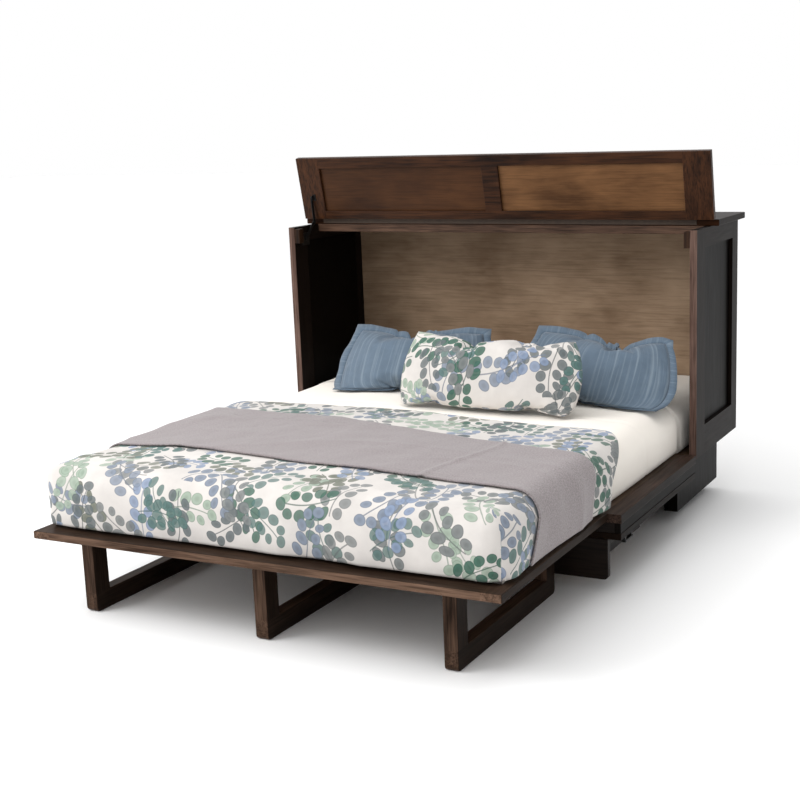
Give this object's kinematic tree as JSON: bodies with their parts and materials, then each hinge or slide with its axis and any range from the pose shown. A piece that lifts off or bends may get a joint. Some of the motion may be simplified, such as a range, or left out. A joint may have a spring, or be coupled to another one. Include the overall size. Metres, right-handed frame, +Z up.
{
  "type": "murphy wall bed",
  "caption": "Low wooden cabinet wall bed, opened out: flip-up panelled lid, folding middle and foot platforms on loop legs, roll-out drawer, mattress, duvet, throw and pillows.",
  "frame": {"origin": "on the floor under the middle of the opened bed's box", "axes": "+X to the right seen from the foot of the bed, +Y from the foot towards the cabinet's back, +Z up"},
  "size_m": [1.678, 2.06, 1.2902],
  "materials": {
    "walnut": "satin stained walnut",
    "walnut_panel": "satin stained walnut, lighter",
    "plywood": "sealed plywood",
    "black_steel": "satin black",
    "mattress_cover": "woven cotton, cream",
    "duvet": "printed cotton with small leaf sprigs",
    "throw": "soft heathered knit, grey",
    "sham": "washed woven cotton, slate blue"
  },
  "bodies": {
    "cabinet": {"side_frame_left": "walnut", "side_frame_right": "walnut", "side_panel_left": "walnut_panel", "side_panel_right": "walnut_panel", "back_panel": "plywood", "top_fixed": "walnut", "top_rail": "walnut", "strike_block_left": "walnut", "strike_block_right": "walnut", "base_side_left": "walnut", "base_side_right": "walnut", "head_deck": "plywood", "base_front_rail": "walnut", "base_back_rail": "plywood", "cabinet_hinge_leaf": "black_steel", "top_hinge_leaf": "black_steel", "stay_bracket": "black_steel", "mattress_head": "mattress_cover", "sham_left": "sham", "sham_right": "sham", "pillow_centre": "duvet"},
    "lid": {"lid_frame": "walnut", "lid_panel_left": "walnut_panel", "lid_panel_right": "walnut_panel", "lid_hinge_leaf": "black_steel", "stay_lid_lug": "black_steel"},
    "stay_lower": {"stay_lower_arm": "black_steel"},
    "stay_upper": {"stay_upper_arm": "black_steel"},
    "platform": {"platform_rail_left": "walnut", "platform_rail_right": "walnut", "front_panel_left": "walnut_panel", "front_panel_right": "walnut_panel", "handle_left": "black_steel", "handle_right": "black_steel", "platform_deck": "plywood", "platform_end_rail": "walnut", "platform_hinge_rail": "walnut", "front_frame": "walnut", "platform_hinge_leaf": "black_steel", "fold_hinge_platform_leaf": "black_steel", "mattress_mid": "mattress_cover", "duvet_mid": "duvet", "throw_mid": "throw"},
    "foot_platform": {"foot_frame": "walnut", "foot_deck": "plywood", "fold_hinge_foot_leaf": "black_steel", "leg_hinge_left": "black_steel", "leg_hinge_mid": "black_steel", "leg_hinge_right": "black_steel", "mattress_foot": "mattress_cover", "duvet_foot": "duvet", "throw_foot": "throw"},
    "leg_left": {"leg_left": "walnut"},
    "leg_mid": {"leg_mid": "walnut"},
    "leg_right": {"leg_right": "walnut"},
    "drawer": {"drawer_front": "walnut", "drawer_box": "plywood", "drawer_bottom": "plywood", "drawer_skid_left": "walnut", "drawer_skid_right": "walnut"}
  },
  "joints": [
    {"name": "lid_hinge", "type": "hinge", "parent": "cabinet", "child": "lid", "pos_m": [0, 0.6795, 1.0505], "axis": [1, 0, 0], "range_deg": [0, 78.1]},
    {"name": "stay_lower_turn", "type": "hinge", "parent": "cabinet", "child": "stay_lower", "pos_m": [-0.7823, 0.584, 0.977], "axis": [-1, 0, 0], "range_deg": [0, 53.8]},
    {"name": "stay_upper_turn", "type": "hinge", "parent": "lid", "child": "stay_upper", "pos_m": [-0.779, 0.63041, 1.13213], "axis": [-1, 0, 0], "range_deg": [0, 30.47]},
    {"name": "platform_fold", "type": "hinge", "parent": "cabinet", "child": "platform", "pos_m": [0, 0.507, 0.2515], "axis": [-1, 0, 0], "range_deg": [0, 90], "deforming": ["mattress_head", "sham_left", "sham_right", "pillow_centre"]},
    {"name": "foot_fold", "type": "hinge", "parent": "platform", "child": "foot_platform", "pos_m": [0, -0.262, 0.3], "axis": [-1, 0, 0], "range_deg": [0, 180], "deforming": ["mattress_mid", "duvet_mid", "throw_mid", "mattress_foot", "duvet_foot", "throw_foot"]},
    {"name": "leg_left_fold", "type": "hinge", "parent": "foot_platform", "child": "leg_left", "pos_m": [-0.592, 0, 0.2245], "axis": [0, -1, 0], "range_deg": [0, 90]},
    {"name": "leg_mid_fold", "type": "hinge", "parent": "foot_platform", "child": "leg_mid", "pos_m": [0.024, 0, 0.2245], "axis": [0, -1, 0], "range_deg": [0, 90]},
    {"name": "leg_right_fold", "type": "hinge", "parent": "foot_platform", "child": "leg_right", "pos_m": [0.571, 0, 0.2245], "axis": [0, 1, 0], "range_deg": [0, 90]},
    {"name": "drawer_slide", "type": "slide", "parent": "cabinet", "child": "drawer", "axis": [0, 1, 0], "range_m": [0, 0.743]}
  ],
  "couplings": [
    {"joint": "stay_lower_turn", "follows": "lid_hinge", "ratio": 0.6825},
    {"joint": "stay_upper_turn", "follows": "lid_hinge", "ratio": 0.3837}
  ]
}
